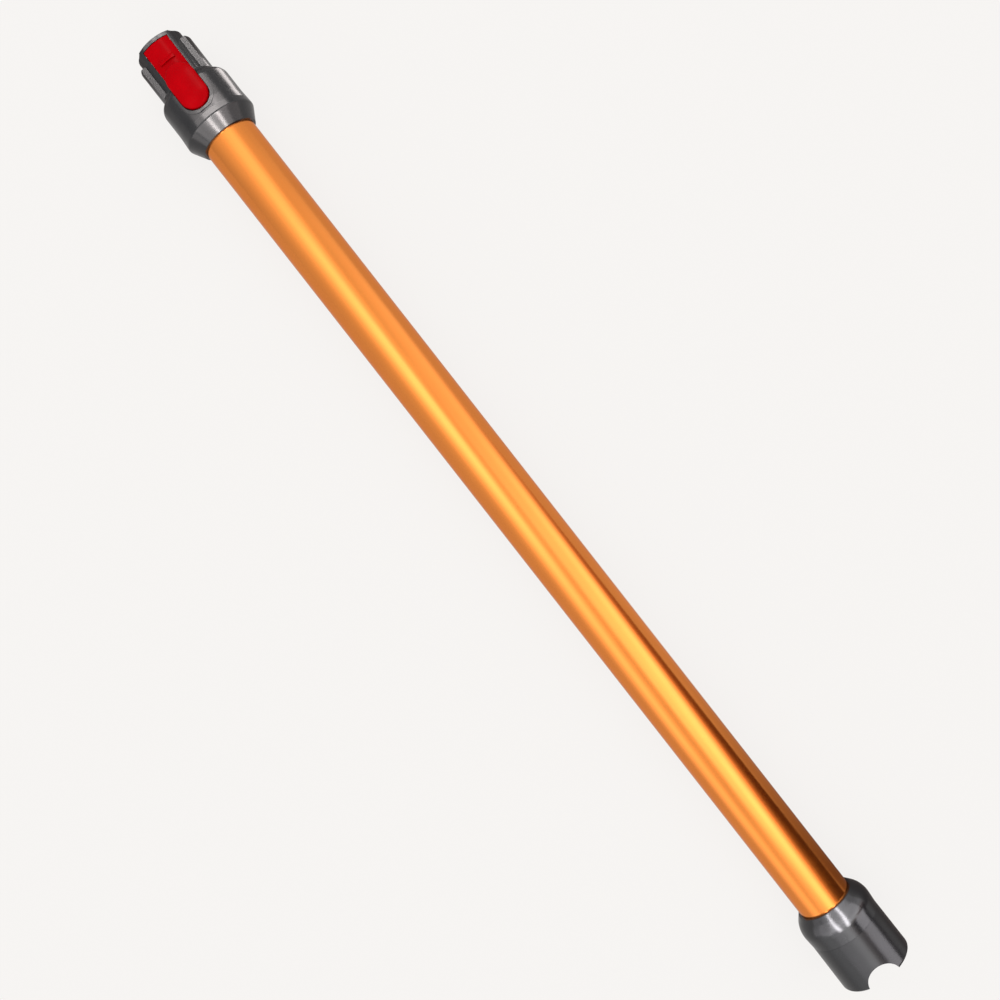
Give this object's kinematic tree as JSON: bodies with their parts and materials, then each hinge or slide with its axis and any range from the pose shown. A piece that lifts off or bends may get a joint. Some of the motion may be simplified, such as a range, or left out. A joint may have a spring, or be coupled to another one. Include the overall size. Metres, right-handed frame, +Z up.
{
  "type": "vacuum extension wand",
  "caption": "Quick-release extension wand of a stick vacuum: an anodised tube with a latching nose and thumb button at one end, a notched socket at the other, and a shielded pair of leads between them",
  "frame": {"origin": "on the surface that the wand lies on, below the middle of its length and on the plane through the tube's axis", "axes": "+X along the tube from the latching nose to the notched socket, +Y across the wand, +Z up out of the thumb button"},
  "size_m": [0.735, 0.05, 0.0529],
  "materials": {
    "tube_metal": "satin orange-gold anodised",
    "conduit_plastic": "extruded, matt",
    "live_insulation": "smooth flexible insulation",
    "neutral_insulation": "smooth flexible insulation",
    "housing_plastic": "dark grey, satin moulded",
    "ring_plastic": "dark grey, satin moulded",
    "button_plastic": "red, polished",
    "steel": "plain steel",
    "spring_steel": "drawn spring wire",
    "contact_plastic": "black, matt",
    "contact_brass": "plated contact brass",
    "cover_plastic": "dark grey, fine grain",
    "seal_rubber": "soft black",
    "liner_plastic": "dark grey, satin moulded"
  },
  "bodies": {
    "wand": {"tube": "tube_metal", "wire_conduit": "conduit_plastic", "live_wire": "live_insulation", "neutral_wire": "neutral_insulation", "plug_body": "housing_plastic", "upper_ring": "ring_plastic", "button_pin": "steel", "button_spring": "spring_steel", "upper_contact_block": "contact_plastic", "upper_live_terminal": "contact_brass", "upper_neutral_terminal": "contact_brass", "upper_contact_cover": "cover_plastic", "upper_cover_screws": "steel", "upper_tube_seal": "seal_rubber", "lower_ring": "ring_plastic", "socket_shell": "housing_plastic", "socket_liner": "liner_plastic", "socket_seal": "seal_rubber", "lower_tube_seal": "seal_rubber", "lower_contact_block": "contact_plastic", "lower_live_pin": "contact_brass", "lower_neutral_pin": "contact_brass", "lower_contact_cover": "cover_plastic", "lower_cover_screw": "steel"},
    "button": {"release_button": "button_plastic"}
  },
  "joints": [
    {"name": "release_press", "type": "hinge", "parent": "wand", "child": "button", "pos_m": [-0.3625, 0, 0.0407], "axis": [0, 1, 0], "range_deg": [0, 6], "stiffness_Nm_per_rad": 0.8, "springref_deg": -3.44, "deforming": ["button_spring"]}
  ]
}
